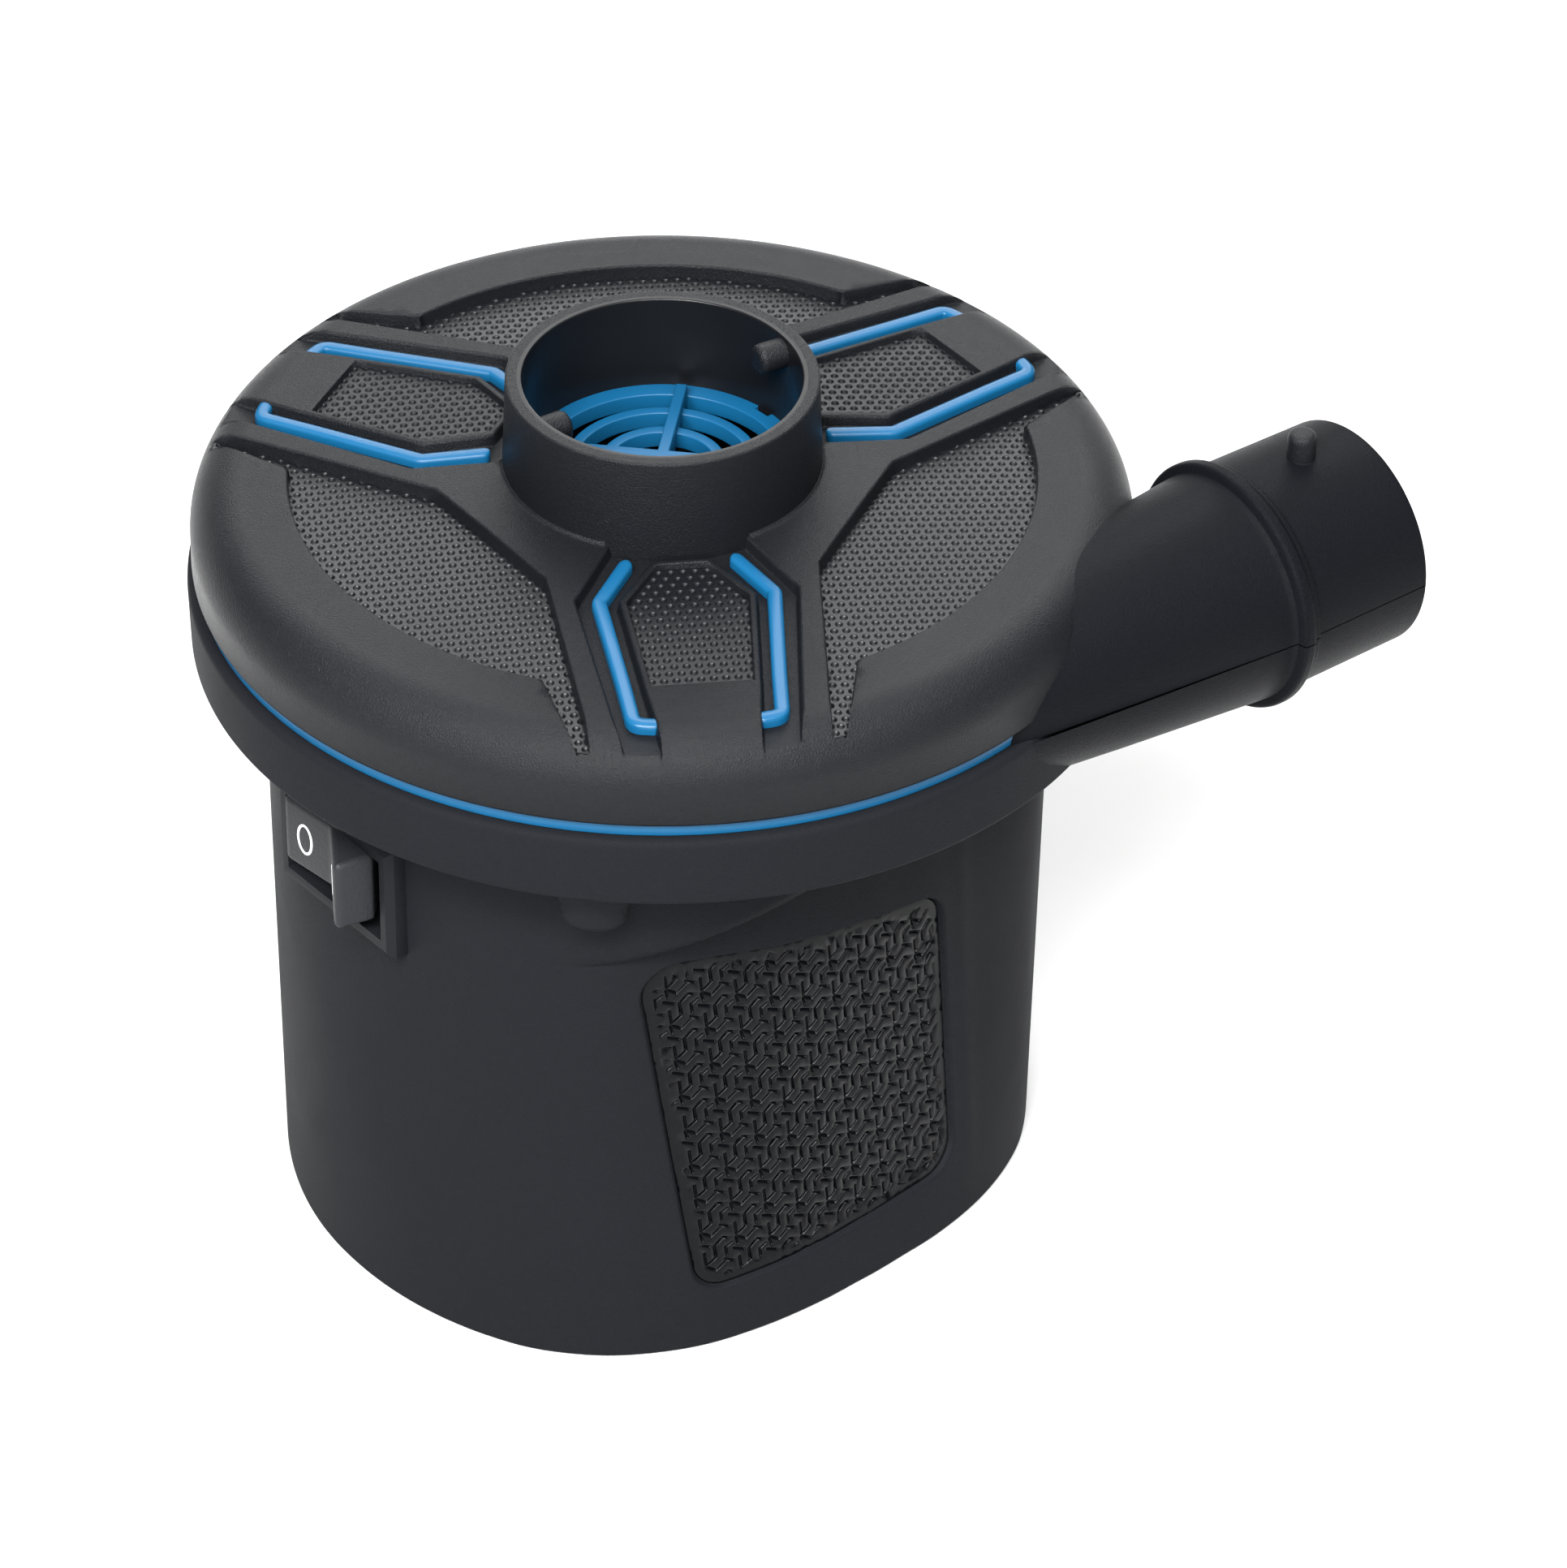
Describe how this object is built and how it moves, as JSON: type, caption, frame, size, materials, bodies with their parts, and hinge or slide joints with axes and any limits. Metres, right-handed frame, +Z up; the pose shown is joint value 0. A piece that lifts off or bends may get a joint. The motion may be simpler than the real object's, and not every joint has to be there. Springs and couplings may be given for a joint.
{
  "type": "pool pump",
  "caption": "Hand-held electric air pump for pool inflatables: blower with top inlet collar, side outlet nozzle, rocker switch and grip pads.",
  "frame": {"origin": "on the impeller axis at the underside of the base", "axes": "+Z up along the impeller axis out of the inlet collar, +X the way the outlet nozzle blows, the switch faces -X"},
  "size_m": [0.1209, 0.1107, 0.1064],
  "materials": {
    "charcoal_plastic": "fine-grained matt moulded ABS",
    "black_plastic": "matt",
    "grip_rubber": "matt textured",
    "blue_plastic": "semi-gloss",
    "rocker_plastic": "fine-grained matt",
    "steel": "plated",
    "brass": "plain",
    "magnet": "sintered ferrite",
    "carbon": "pressed carbon",
    "copper": "varnished copper wire on steel laminations",
    "end_cap_plastic": "matt",
    "cell_sleeve": "shrink sleeve",
    "board": "solder mask",
    "lead_red": "insulated wire",
    "lead_black": "insulated wire",
    "red_lens": "tinted lens"
  },
  "bodies": {
    "housing": {"top_cover": "charcoal_plastic", "inlet_collar": "charcoal_plastic", "trim_ring": "blue_plastic", "accent_strips": "blue_plastic", "inlet_grille": "blue_plastic", "body_shell": "charcoal_plastic", "grip_pad_front": "grip_rubber", "grip_pad_rear": "grip_rubber", "fan_deck": "black_plastic", "motor_can": "steel", "motor_magnets": "magnet", "motor_end_cap": "end_cap_plastic", "motor_bushings": "brass", "motor_brushes": "carbon", "motor_screws": "steel", "battery_cells": "cell_sleeve", "cell_links": "steel", "battery_cradle": "black_plastic", "circuit_board": "board", "board_screws": "steel", "motor_leads": "lead_red", "switch_leads": "lead_black", "charge_jack": "black_plastic", "jack_nut": "steel", "charge_lens": "red_lens", "switch_bezel": "black_plastic", "switch_terminals": "brass", "cover_screws": "steel", "deck_screws": "steel"},
    "rotor": {"motor_shaft": "steel", "armature": "copper", "commutator": "copper", "impeller": "black_plastic", "impeller_nut": "steel"},
    "rocker": {"switch_rocker": "rocker_plastic"}
  },
  "joints": [
    {"name": "impeller_spin", "type": "hinge", "parent": "housing", "child": "rotor", "pos_m": [0, 0, 0.05], "axis": [0, 0, 1], "continuous": true},
    {"name": "switch_rock", "type": "hinge", "parent": "housing", "child": "rocker", "pos_m": [-0.04585, -0.00216, 0.0604], "axis": [0, 0, 1], "range_deg": [0, 28]}
  ]
}
